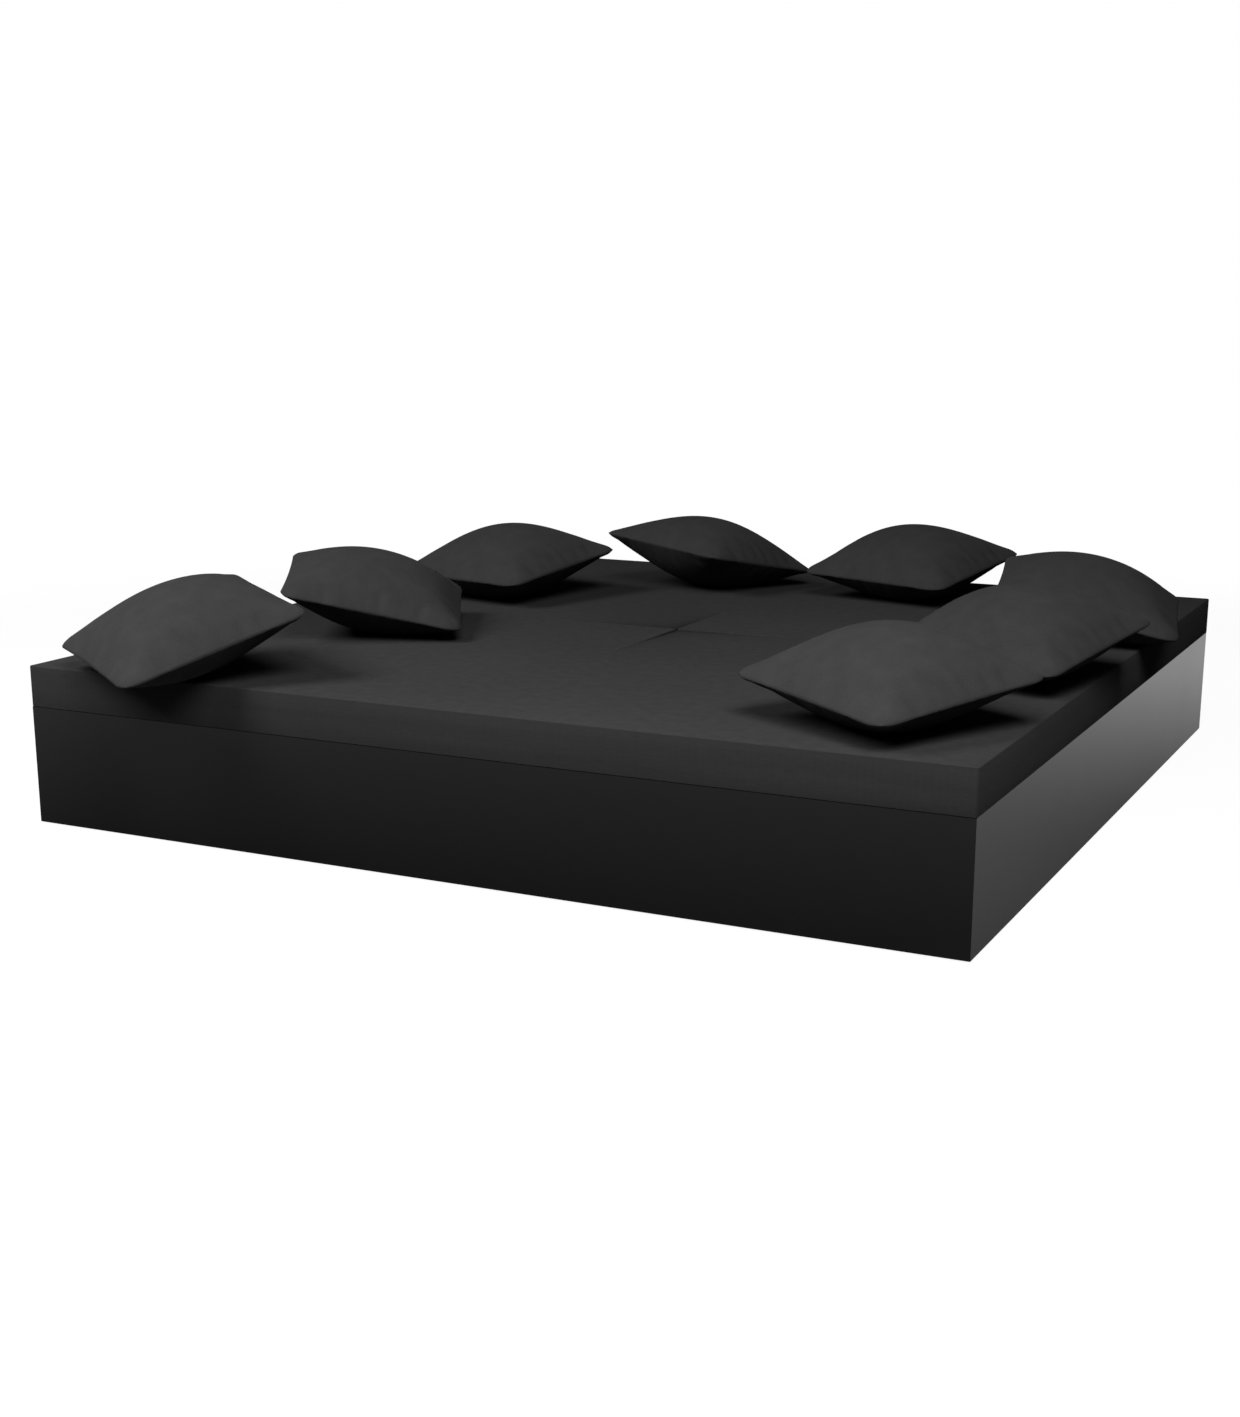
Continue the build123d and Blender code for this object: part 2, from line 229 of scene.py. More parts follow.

# %% [markdown]
# ## Floor
# The floor is a disc of matt paint that fades into the white room at its rim. Lamps that whiten it
# would bleach the bed as well, so it also glows to the camera, except under the bed, where a real
# floor is dark. Polished faces mirror a glow too, and that glow is painted shade and light: it is dark
# close to the bed, for the shade that a real bed casts at its foot, and grows brighter away from it,
# most of all towards the back.

# %% Floor
FLOOR_RADIUS = 4.0
FLOOR_SOLID_RADIUS = 2.6
FLOOR_GLOW = 0.95  # what the camera sees on top of the lamps, so that the floor is white
FLOOR_EDGE_UNDER_BED = 0.03  # m inside the panels' outer faces, where that glow ends
MIRRORED_GLOW = 0.62  # what polished faces see of the glow, a metre away from the bed
MOST_MIRRORED = 1.3  # how many times that it may be further out
SIDEWAYS_SCALE = 1.2  # how fast the distance from the bed counts to its left and right
FRONT_SCALE, FRONT_SHIFT = 1.1, 0.12  # the same in front, and how much of it the painted shade of the bed takes
BACK_FROM, BACK_TO, BACK_SHARE = -0.3, 2.3, 0.85  # where the painted brightening to the back begins and ends
deselect_everything()
bpy.ops.mesh.primitive_circle_add(vertices=96, radius=FLOOR_RADIUS, fill_type="NGON")
floor = bpy.context.object
floor.name = "floor"
floor_paint, tree, output = blank_material("floor_matt_paint")
place = add(tree, "ShaderNodeTexCoord").outputs["Object"]
reach = add(tree, "ShaderNodeVectorMath", {"operation": "LENGTH"}, {0: place})
fade = add(
    tree, "ShaderNodeMapRange", {"interpolation_type": "SMOOTHSTEP"},
    {"Value": reach.outputs["Value"], "From Min": FLOOR_SOLID_RADIUS, "From Max": FLOOR_RADIUS},
)
seen_by = add(tree, "ShaderNodeLightPath")
spot = add(tree, "ShaderNodeSeparateXYZ", inputs={0: place})
either_side = add(tree, "ShaderNodeVectorMath", {"operation": "ABSOLUTE"}, {0: place})
sides = add(tree, "ShaderNodeSeparateXYZ", inputs={0: either_side.outputs[0]})
widest = add(
    tree, "ShaderNodeMath", {"operation": "MAXIMUM"}, {0: sides.outputs[0], 1: sides.outputs[1]}
)
clear_of_bed = add(
    tree, "ShaderNodeMath", {"operation": "GREATER_THAN"},
    {0: widest.outputs[0], 1: cover_high.x - FLOOR_EDGE_UNDER_BED},
)
sideways = add(
    tree, "ShaderNodeMath", {"operation": "MULTIPLY"}, {0: sides.outputs[0], 1: SIDEWAYS_SCALE}
)
in_front = add(
    tree, "ShaderNodeMath", {"operation": "MULTIPLY_ADD"},
    {0: spot.outputs[1], 1: -FRONT_SCALE, 2: -FRONT_SHIFT},
)
furthest = add(
    tree, "ShaderNodeMath", {"operation": "MAXIMUM"}, {0: sideways.outputs[0], 1: in_front.outputs[0]}
)
towards_back = add(
    tree, "ShaderNodeMapRange", {"interpolation_type": "SMOOTHSTEP"},
    {"Value": spot.outputs[1], "From Min": BACK_FROM, "From Max": BACK_TO, "To Max": BACK_SHARE},
)
distance = add(
    tree, "ShaderNodeMath", {"operation": "ADD"}, {0: furthest.outputs[0], 1: towards_back.outputs[0]}
)
# Painted reflection: what polished faces see of the floor's glow is dark near the bed, for its shade, and
# brighter further out.
away_from_bed = add(
    tree, "ShaderNodeMapRange",
    inputs={
        "Value": distance.outputs[0],
        "From Min": cover_high.x, "From Max": cover_high.x + MOST_MIRRORED,
        "To Max": MIRRORED_GLOW * MOST_MIRRORED,
    },
)
mirrored_glow = add(
    tree, "ShaderNodeMath", {"operation": "MULTIPLY"},
    {0: seen_by.outputs["Is Glossy Ray"], 1: away_from_bed.outputs[0]},
)
seen_glow = add(
    tree, "ShaderNodeMath", {"operation": "MULTIPLY"},
    {0: seen_by.outputs["Is Camera Ray"], 1: clear_of_bed.outputs[0]},
)
glow_strength = add(
    tree, "ShaderNodeMath", {"operation": "MULTIPLY_ADD"},
    {0: seen_glow.outputs[0], 1: FLOOR_GLOW, 2: mirrored_glow.outputs[0]},
)
matt = add(tree, "ShaderNodeBsdfDiffuse", inputs={"Color": linear("#5a5a5a")})
glow = add(
    tree, "ShaderNodeEmission",
    inputs={"Color": linear("#ffffff"), "Strength": glow_strength.outputs[0]},
)
lit = add(tree, "ShaderNodeAddShader", inputs={0: matt.outputs[0], 1: glow.outputs[0]})
clear = add(tree, "ShaderNodeBsdfTransparent")
ground = add(
    tree, "ShaderNodeMixShader", inputs={0: fade.outputs[0], 1: lit.outputs[0], 2: clear.outputs[0]}
)
tree.links.new(ground.outputs[0], output.inputs["Surface"])
floor.data.materials.append(floor_paint)
print("The floor reaches", FLOOR_RADIUS, "m from the middle of the bed")

# %% [markdown]
# ## Black lacquer
# The four panels are fibreboard, sprayed with black polyurethane lacquer and polished. Lacquer is
# nearly black by itself, so what the eye sees is the room mirrored in it, strongest at a flat angle.
# A clear coat over a black layer could give that too, but one glossy layer looks the same. Sprayed
# lacquer is never quite flat: a faint ripple, like orange peel, softens what it mirrors.


# %% Lacquer
def black_lacquer():
    """Polished polyurethane lacquer on board: near black, clear reflections, faint ripple."""
    ripple_size = 9 * MM
    haze_size = 1 / 6  # m, the width of a hand: patches that are polished a little less
    clearest, haziest = 0.1, 0.2
    material, tree, output = blank_material("black_polyurethane_lacquer")
    place = add(tree, "ShaderNodeTexCoord").outputs["Object"]
    ripple = add(
        tree, "ShaderNodeTexNoise", inputs={"Vector": place, "Scale": 1 / ripple_size, "Detail": 2.0}
    )
    bump = add(
        tree, "ShaderNodeBump",
        inputs={"Height": ripple.outputs[0], "Strength": 0.04, "Distance": 0.2 * MM},
    )
    haze = add(tree, "ShaderNodeTexNoise", inputs={"Vector": place, "Scale": 1 / haze_size, "Detail": 4.0})
    roughness = add(
        tree, "ShaderNodeMapRange",
        inputs={"Value": haze.outputs[0], "To Min": clearest, "To Max": haziest},
    )
    surface = add(
        tree, "ShaderNodeBsdfPrincipled",
        inputs={
            "Base Color": linear("#181818"), "IOR": 1.25,
            "Roughness": roughness.outputs[0], "Normal": bump.outputs[0],
        },
    )
    tree.links.new(surface.outputs[0], output.inputs["Surface"])
    return material


lacquer = black_lacquer()
panels = [name for name in nodes if name.endswith("_panel")]
for name in panels:
    finish_with(nodes[name], lacquer)
print("Lacquered:", ", ".join(sorted(panels)))

# %% [markdown]
# ## Timber
# The frame inside is sawn pine, and the slats are planed beech. Wood shows long darker streaks, the
# year rings, that run with the length of each piece. An image of wood would repeat on 32 slats, and
# noise stretched along that direction doesn't. Each timber material is made once for every direction
# that the pieces run in.


# %% Timber
def sawn_timber(name, light, dark, ring_width, along, roughness):
    """Planed or sawn wood whose grain runs along one axis: 0 for X, 1 for Y, 2 for Z."""
    streak_length = 40 * ring_width
    material, tree, output = blank_material(name)
    place = add(tree, "ShaderNodeTexCoord").outputs["Object"]
    scale = [1 / ring_width] * 3
    scale[along] = 1 / streak_length
    stretched = add(tree, "ShaderNodeMapping", inputs={"Vector": place, "Scale": scale})
    rings = add(
        tree, "ShaderNodeTexNoise",
        inputs={"Vector": stretched.outputs[0], "Scale": 1.0, "Detail": 3.0, "Distortion": 0.6},
    )
    contrast = add(
        tree, "ShaderNodeMapRange", inputs={"Value": rings.outputs[0], "From Min": 0.3, "From Max": 0.7}
    )
    colour = add(
        tree, "ShaderNodeMix", {"data_type": "RGBA"},
        {0: contrast.outputs[0], MIX_A: linear(light), MIX_B: linear(dark)},
    )
    bump = add(
        tree, "ShaderNodeBump",
        inputs={"Height": rings.outputs[0], "Strength": 0.3, "Distance": 0.3 * MM},
    )
    surface = add(
        tree, "ShaderNodeBsdfPrincipled",
        inputs={
            "Base Color": colour.outputs[MIX_COLOUR], "Roughness": roughness, "IOR": 1.45,
            "Normal": bump.outputs[0],
        },
    )
    tree.links.new(surface.outputs[0], output.inputs["Surface"])
    return material


def longest_axis(name):
    """0, 1 or 2 for the axis along which a node is longest."""
    low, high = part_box(name)
    size = high - low
    return max(range(3), key=lambda axis: size[axis])


pine = [
    sawn_timber(f"sawn_pine_along_{'xyz'[axis]}", "#d9b27c", "#b98950", 5 * MM, axis, 0.7)
    for axis in range(3)
]
beech = sawn_timber("planed_beech", "#d8b48a", "#c39a6c", 3 * MM, 0, 0.55)
pine_endings = ("_post", "_ledger_1", "_ledger_2", "_beam", "_shoe", "_leg")
timbers = [name for name in nodes if name.endswith(pine_endings)]
for name in timbers:
    finish_with(nodes[name], pine[longest_axis(name)])
for name in ("left_slats", "right_slats"):
    finish_with(nodes[name], beech)
print(len(timbers), "pieces of pine and two rows of slats")

# %% [markdown]
# ## Steel and nylon
# The corner studs and nuts are zinc plated, which looks pale grey with fine brighter patches. The
# glides are moulded nylon, smooth and slightly waxy. Both are one colour that wavers a little, and so
# are the foam and the zip further down. One helper makes them all from two tones and a grain size.


# %% Small materials
def mottled(name, light, dark, grain, settings, bump_depth=0.0):
    """A material whose colour wavers between two tones in patches of one grain size."""
    material, tree, output = blank_material(name)
    place = add(tree, "ShaderNodeTexCoord").outputs["Object"]
    patches = add(
        tree, "ShaderNodeTexNoise", inputs={"Vector": place, "Scale": 1 / grain, "Detail": 4.0}
    )
    colour = add(
        tree, "ShaderNodeMix", {"data_type": "RGBA"},
        {0: patches.outputs[0], MIX_A: linear(light), MIX_B: linear(dark)},
    )
    bump = add(
        tree, "ShaderNodeBump",
        inputs={"Height": patches.outputs[0], "Strength": 0.5, "Distance": bump_depth},
    )
    surface = add(
        tree, "ShaderNodeBsdfPrincipled",
        inputs={"Base Color": colour.outputs[MIX_COLOUR], "Normal": bump.outputs[0], **settings},
    )
    tree.links.new(surface.outputs[0], output.inputs["Surface"])
    return material


zinc = mottled("zinc_plated_steel", "#c9ccd0", "#a8abb0", 4 * MM, {"Metallic": 1.0, "Roughness": 0.35})
nylon = mottled(
    "moulded_nylon", "#e8e6df", "#dddad0", 8 * MM, {"Roughness": 0.45, "IOR": 1.53}, 0.05 * MM
)
for name in ("corner_studs", "corner_nuts"):
    finish_with(nodes[name], zinc)
finish_with(nodes["glides"], nylon)
print("Studs and nuts are zinc plated, and the glides are nylon")

# %% [markdown]
# ## Upholstery cloth
# The mattress and the pillows wear the same kind of tightly woven, matt black cloth. Up close it is a
# plain weave. From across a room the threads blur into a fine grain, with broad, faint patches where
# the cloth is rubbed or dusty. Two crossed waves give the threads, and noise at two sizes gives the
# grain and the patches, so that nothing repeats over the whole bed. Loose fibres catch light at a
# flat angle, and sheen stands for them. The pattern follows each piece's own UV map, laid out in
# metres along the cloth. Where cloth is gathered, its folds shade each other, and that shade is
# painted: an attribute of the mesh darkens the cloth's colour there.


# %% Cloth
PAINTED_SHADE_ATTRIBUTE = "gathered"  # a point attribute: how much painted shade darkens the cloth, 0 to 1


def woven_cloth(name, dark, light, thread, grain, patch):
    """Plain woven cotton and polyester: matt, grainy, with a soft sheen at its edges."""
    material, tree, output = blank_material(name)
    along = add(tree, "ShaderNodeTexCoord").outputs["UV"]
    threads = [
        add(
            tree, "ShaderNodeTexWave", {"bands_direction": direction},
            {"Vector": along, "Scale": WAVE_PERIOD / thread, "Distortion": 0.4},
        )
        for direction in ("X", "Y")
    ]
    weave = add(
        tree, "ShaderNodeMath", {"operation": "MULTIPLY"},
        {0: threads[0].outputs[1], 1: threads[1].outputs[1]},
    )
    fibres, patches = [
        add(
            tree, "ShaderNodeTexNoise",
            inputs={"Vector": along, "Scale": 1 / size, "Detail": detail},
        )
        for size, detail in ((grain, 2.0), (patch, 3.0))
    ]
    speckle = add(
        tree, "ShaderNodeMath", {"operation": "ADD"}, {0: fibres.outputs[0], 1: patches.outputs[0]}
    )
    tone = add(
        tree, "ShaderNodeMapRange",
        inputs={"Value": speckle.outputs[0], "From Min": 0.6, "From Max": 1.4},
    )
    colour = add(
        tree, "ShaderNodeMix", {"data_type": "RGBA"},
        {0: tone.outputs[0], MIX_A: linear(dark), MIX_B: linear(light)},
    )
    # Painted shade: the attribute darkens the colour towards #040404 where the folds shade each other.
    painted_shade = add(tree, "ShaderNodeAttribute", {"attribute_name": PAINTED_SHADE_ATTRIBUTE})
    shaded_colour = add(
        tree, "ShaderNodeMix", {"data_type": "RGBA"},
        {0: painted_shade.outputs["Fac"], MIX_A: colour.outputs[MIX_COLOUR], MIX_B: linear("#040404")},
    )
    relief = add(
        tree, "ShaderNodeMath", {"operation": "ADD"}, {0: weave.outputs[0], 1: fibres.outputs[0]}
    )
    bump = add(
        tree, "ShaderNodeBump",
        inputs={"Height": relief.outputs[0], "Strength": 0.35, "Distance": 0.3 * MM},
    )
    surface = add(
        tree, "ShaderNodeBsdfPrincipled",
        inputs={
            "Base Color": shaded_colour.outputs[MIX_COLOUR], "Roughness": 0.9, "Specular IOR Level": 0.0,
            "Sheen Weight": 0.03, "Sheen Roughness": 0.5, "Normal": bump.outputs[0],
        },
    )
    tree.links.new(surface.outputs[0], output.inputs["Surface"])
    return material


THREAD = 1.6 * MM  # coarser than the real 0.6 mm, which is too fine to show
GRAIN = 3 * MM
mattress_cloth = woven_cloth("woven_mattress_cloth", "#323232", "#3b3b3b", THREAD, GRAIN, 90 * MM)
pillow_cloth = woven_cloth("woven_pillow_cloth", "#363636", "#404040", THREAD, GRAIN, 45 * MM)
print("Both cloths are woven with a thread of", THREAD / MM, "mm")

# %% [markdown]
# ## Mattress cover
# The cover is one zipped case of cloth. Its band is a single strip with crisp edges that stands out
# a little over the panels, and its top is pieced from four quarters that meet in the middle. Where the
# four seams cross, the cloth is gathered: two opposite quarters sink at the seams and the other two
# roll over them, and all of this fades out before it reaches the pillows. The hollows could be
# sculpted by hand, but a formula makes both low quarters alike and can press the foam below them as
# well. The case starts as a box whose edges are bevelled. It is then sliced finely near the seams and
# coarsely elsewhere, the back band gets a recess for the zip, and the gathers are pressed in.

# %% Cover: the case
CORNER_RADIUS = 5 * MM
EDGE_RADIUS = 2.5 * MM
LOWER_EDGE_RADIUS = 1 * MM
TOLERANCE = 1.01  # a length counts as no longer than another up to this many times it
MOSTLY = 0.9  # a direction counts as along an axis when this share of it is
BAND_SWELL = 1 * MM  # how far the filled band stands out over the panels
cover_size = cover_high - cover_low + Vector((2, 2, 0)) * BAND_SWELL

deselect_everything()
bpy.ops.mesh.primitive_cube_add(size=1, location=(cover_low + cover_high) / 2, scale=cover_size)
cover = bpy.context.object
cover.name = "mattress_case"
bpy.ops.object.transform_apply(location=True, rotation=False, scale=True)
bpy.ops.object.mode_set(mode="EDIT")
pick(cover, "EDGE", lambda edge: run_of(edge).z > MOSTLY)
bpy.ops.mesh.bevel(offset=CORNER_RADIUS, segments=4)
for side, radius in ((1, EDGE_RADIUS), (-1, LOWER_EDGE_RADIUS)):
    pick(cover, "FACE", lambda face: face.normal.z * side > MOSTLY)
    bpy.ops.mesh.region_to_loop()
    bpy.ops.mesh.bevel(offset=radius, segments=3)
print("The case has", len(bmesh.from_edit_mesh(cover.data).faces), "faces")

# %% Cover: slices
SEAM_HALF_WIDTH = 1.2 * MM
SLICE_STEP = 4 * MM  # from the first slice to the next
SLICE_GROWTH = 0.12  # how much wider the steps grow with the distance from the seam
SLICE_MARGIN = 60 * MM  # no more slices are needed this close to the edge
slice_distances = [SEAM_HALF_WIDTH]
while slice_distances[-1] < cover_size.x / 2 - SLICE_MARGIN:
    slice_distances.append(slice_distances[-1] + SLICE_STEP + SLICE_GROWTH * slice_distances[-1])


def slice_for_gathers():
    """In edit mode, slices the piece both ways, finely near the seams of the top."""
    for distance in slice_distances:
        for side in (-distance, distance):
            for across in ((1, 0, 0), (0, 1, 0)):
                bpy.ops.mesh.select_all(action="SELECT")
                bpy.ops.mesh.bisect(plane_co=(side, side, 0), plane_no=across)


slice_for_gathers()
print(4 * len(slice_distances), "slices, the closest", 2 * SEAM_HALF_WIDTH / MM, "mm apart")

# %% Cover: recess for the zip
RECESS_CLEARANCE = 0.2 * MM
zip_low, zip_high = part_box("mattress_zip")
zip_half_length = (zip_high.x - zip_low.x) / 2 + RECESS_CLEARANCE
zip_bottom = zip_low.z - RECESS_CLEARANCE
zip_top = zip_high.z + RECESS_CLEARANCE
recess_floor = zip_low.y


def on_back_band(face):
    """True for the flat faces of the band at the back, where the zip is let in."""
    spot = middle(face)
    return face.normal.y > MOSTLY and abs(spot.x) < zip_half_length and zip_bottom < spot.z < zip_top


for corner, across in (
    ((zip_half_length, 0, zip_bottom), (1, 0, 0)), ((-zip_half_length, 0, zip_top), (1, 0, 0)),
    ((0, 0, zip_bottom), (0, 0, 1)), ((0, 0, zip_top), (0, 0, 1)),
):
    bpy.ops.mesh.select_all(action="SELECT")
    bpy.ops.mesh.bisect(plane_co=corner, plane_no=across)
pick(cover, "FACE", on_back_band)
bpy.ops.mesh.extrude_region_move(
    TRANSFORM_OT_translate={"value": (0, recess_floor - cover_high.y - BAND_SWELL, 0)}
)
bpy.ops.object.mode_set(mode="OBJECT")
print("The zip's recess is", round((cover_high.y - recess_floor) / MM, 2), "mm deep")

# %% Cover: gathers at the crossing
SINK_DEPTH = 4.5 * MM  # of a low quarter at the crossing
SINK_WIDTH = 60 * MM  # this far from the seam, about a third of the sinking is left
ROLL_HEIGHT = 1.2 * MM  # of a high quarter over its seam
ROLL_WIDTH = 7 * MM
GATHER_REACH = 0.38  # m from the crossing, where the gathers end
FADING_POWER = 1.4
BROAD_SHADE, BROAD_WIDTH = 0.3, 100 * MM  # how much painted shade darkens the cloth at a seam
FINE_SHADE, FINE_WIDTH = 0.35, 10 * MM
BACK_SHADE, BACK_WIDTH = 0.55, 30 * MM  # the extra painted shade in the low quarter at the back


def seam_place(x, y):
    """How far a place is from a seam, how strong the gathers are there, and if its quarter is low."""
    from_seam = max(0, min(abs(x), abs(y)) - SEAM_HALF_WIDTH)
    from_middle = math.hypot(x, y)
    fading = max(0, 1 - from_middle / GATHER_REACH) ** FADING_POWER
    on_seam = min(abs(x), abs(y)) <= SEAM_HALF_WIDTH * TOLERANCE
    low_quarter = x * y < 0 or (on_seam and from_middle < SEAM_HALF_WIDTH * 3)
    return from_seam, fading, low_quarter


def gather(x, y):
    """How far the top rises or sinks at a place, as the quarters are gathered at their seams."""
    from_seam, fading, low_quarter = seam_place(x, y)
    if low_quarter:
        return -SINK_DEPTH * fading * math.exp(-from_seam / SINK_WIDTH)
    return ROLL_HEIGHT * fading * (math.exp(-from_seam / ROLL_WIDTH) - 1)


def painted_crease_shade(x, y):
    """How much painted shade darkens the cloth of a low quarter at a place, for the shade of its folds."""
    from_seam, fading, low_quarter = seam_place(x, y)
    if not low_quarter:
        return 0.0
    broad = BROAD_SHADE * math.exp(-from_seam / BROAD_WIDTH)
    fine = FINE_SHADE * math.exp(-from_seam / FINE_WIDTH)
    extra = BACK_SHADE * fading ** 2 * math.exp(-from_seam / BACK_WIDTH) if y > 0 else 0.0
    return (broad + fine) * fading + extra


def press_gathers(piece, top_height):
    """Presses the gathers into all of a piece that lies above a height."""
    for vertex in piece.data.vertices:
        if vertex.co.z > top_height:
            vertex.co.z += gather(vertex.co.x, vertex.co.y)


top_of_case = cover_high.z - EDGE_RADIUS / 2
# Painted shade: the top of the low quarters is darkened near the seams, in place of the shade of the
# folds.
painted_shade_points = cover.data.attributes.new(PAINTED_SHADE_ATTRIBUTE, "FLOAT", "POINT").data
for point, vertex in zip(painted_shade_points, cover.data.vertices):
    on_top = vertex.co.z > top_of_case
    point.value = painted_crease_shade(vertex.co.x, vertex.co.y) if on_top else 0.0
press_gathers(cover, top_of_case)
print("The gathers end", GATHER_REACH, "m from the crossing")


# %% Cover: cloth and place
def lay_flat_uv(piece):
    """Lays each face's cloth out in metres along the two axes that the face does not look along."""
    uv = piece.data.uv_layers.new(name="cloth").data
    for face in piece.data.polygons:
        facing = max(range(3), key=lambda axis: abs(face.normal[axis]))
        first, second = [axis for axis in range(3) if axis != facing]
        for corner in face.loop_indices:
            spot = piece.data.vertices[piece.data.loops[corner].vertex_index].co
            uv[corner].uv = (spot[first], spot[second])


lay_flat_uv(cover)
deselect_everything()
cover.select_set(True)
bpy.context.view_layer.objects.active = cover
bpy.ops.object.shade_smooth_by_angle(angle=math.radians(28))
finish_with(cover, mattress_cloth)
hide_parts("mattress_cover")
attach(cover, "mattress")
print("The cover has", len(cover.data.polygons), "faces")

# %% [markdown]
# ## Foam cores
# Four blocks of foam fill the cover, one for each quarter. Their outer edges are cut square, and the
# top edges along the seams are eased, so that the cloth can sink between them. The gathers press
# into the foam as they do into the cloth, which keeps the same gap between the two.

# %% Foam cores
FOAM_EASING = 3 * MM
foam = mottled("cut_polyurethane_foam", "#efe6c8", "#dccf9f", 1.5 * MM, {"Roughness": 0.95}, 0.8 * MM)
for name in [name for name in nodes if name.endswith("_foam")]:
    low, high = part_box(name)
    deselect_everything()
    bpy.ops.mesh.primitive_cube_add(size=1, location=(low + high) / 2, scale=high - low)
    block = bpy.context.object
    block.name = f"{name}_block"
    bpy.ops.object.transform_apply(location=True, rotation=False, scale=True)
    bpy.ops.object.mode_set(mode="EDIT")
    pick(block, "FACE", lambda face: face.normal.z > MOSTLY)
    bpy.ops.mesh.region_to_loop()
    bpy.ops.mesh.bevel(offset=FOAM_EASING, segments=3)
    slice_for_gathers()
    bpy.ops.object.mode_set(mode="OBJECT")
    press_gathers(block, high.z - FOAM_EASING * TOLERANCE)
    finish_with(block, foam)
    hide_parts(name)
    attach(block, "mattress")
    print(block.name, "has", len(block.data.polygons), "faces")

# %% [markdown]
# ## Zip
# The zip lies in the back band, where nobody sees it in use. Its tape is woven polyester, its coil is
# nylon, and its slider is die-cast zinc with black paint. The tape is already there. A real coil is
# one long spiral of wire. At this size its turns look like a row of teeth, so it is drawn as one
# tooth of a few faces, repeated along the chain by an array.

# %% Zip coil
TOOTH_PITCH = 3.2 * MM
TOOTH_SIZE = (1.9 * MM, 1.0 * MM, 5.0 * MM)
TOOTH_BEVEL = 0.4 * MM
TAPE_TO_CHAIN = 1.65 * MM  # from the inner face of the tape to the middle of the teeth
CHAIN_END = 12 * MM  # of tape without teeth, both ends together
chain_middle = zip_low.y + TAPE_TO_CHAIN
teeth = int((zip_high.x - zip_low.x - CHAIN_END) / TOOTH_PITCH)
deselect_everything()
bpy.ops.mesh.primitive_cube_add(
    size=1, scale=TOOTH_SIZE,
    location=(-teeth * TOOTH_PITCH / 2, chain_middle, (zip_low.z + zip_high.z) / 2),
)
zip_coil = bpy.context.object
zip_coil.name = "zip_coil"
bpy.ops.object.transform_apply(location=True, rotation=False, scale=True)
bpy.ops.object.mode_set(mode="EDIT")
pick(zip_coil, "FACE", lambda face: face.normal.y > MOSTLY)
bpy.ops.mesh.bevel(offset=TOOTH_BEVEL, segments=1)
bpy.ops.object.mode_set(mode="OBJECT")
row = zip_coil.modifiers.new("row", "ARRAY")
row.use_relative_offset = False
row.use_constant_offset = True
row.constant_offset_displace = (TOOTH_PITCH, 0, 0)
row.count = teeth
bpy.ops.object.modifier_apply(modifier="row")
print(teeth, "teeth in the zip")

# %% Zip materials
zip_tape = mottled(
    "woven_polyester_tape", "#1c1c1c", "#262626", 1.2 * MM,
    {"Roughness": 0.85, "Specular IOR Level": 0.1}, 0.2 * MM,
)
zip_nylon = mottled("black_nylon_coil", "#17171a", "#202024", 2 * MM, {"Roughness": 0.4, "IOR": 1.53})
painted_zinc = mottled("black_painted_zinc", "#101010", "#1b1b1b", 3 * MM, {"Roughness": 0.3})
finish_with(nodes["mattress_zip"], zip_tape)
finish_with(zip_coil, zip_nylon)
finish_with(nodes["zip_slider"], painted_zinc)
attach(zip_coil, "mattress")
print("The zip has its tape, coil and slider materials")

# %% [markdown]
# ## Pillows
# Each pillow is two squares of cloth sewn together round the edge and stuffed. The filling makes it
# thick in the middle and pulls its sides in between the rounded corners, which stay thin. One pillow
# is made flat: a sheet of small squares is shaped into the upper half, turned over for the lower
# half, and sewn at the rim. A simulation alone could blow two flat squares up, but they would end as
# thick as it happens. So the shape comes first, and a cloth simulation only fills it: the cloth is
# cut a little larger, and pressure from inside blows it up until it is taut, with small folds along
# the seam. The result is copied eight times.

# %% Pillow: two squares of cloth
PILLOW_SIDE = 0.405
PILLOW_THICKNESS = 0.17
SIDE_PULL = 0.025  # how far a side's middle is drawn in, as a share of half the side
FULLNESS = 0.8  # the lower it is, the steeper a half rises from its seam
FULLNESS_BELOW = 0.85
PILLOW_CORNER = 40 * MM  # the radius of its rounded corners
CORNER_FILLING = 14 * MM  # what the filling in the corners adds to the crown
SQUARES = 54  # along each side
SEAM_HEIGHT = 0.1 * MM  # a point nearer than this to the flat middle lies on the seam
SEAM_CREASE = 0.8


def round_corner(x, y, half, radius):
    """Brings a point of a square into the same square with rounded corners."""
    spot = Vector((x, y))
    centre = Vector((math.copysign(half - radius, x), math.copysign(half - radius, y)))
    outward = Vector((abs(x) - (half - radius), abs(y) - (half - radius)))
    if min(outward) <= 0:
        return spot
    reach = max(outward)
    return centre + (spot - centre).normalized() * reach


def stuffed(x, y, half, fullness):
    """How far one half stands off the flat pillow at a place."""
    u, v = min(1, abs(x / half)), min(1, abs(y / half))
    crown = PILLOW_THICKNESS / 2 * ((1 - u * u) * (1 - v * v)) ** fullness
    in_the_corner = (u * v) ** 4 * ((1 - u ** 8) * (1 - v ** 8)) ** 0.5
    return crown + CORNER_FILLING * in_the_corner


def drawn_in(x, y, half):
    """Where a place of the flat square ends up once the filling pulls the sides in."""
    u, v = x / half, y / half
    return x * (1 - SIDE_PULL * (1 - v * v)), y * (1 - SIDE_PULL * (1 - u * u))


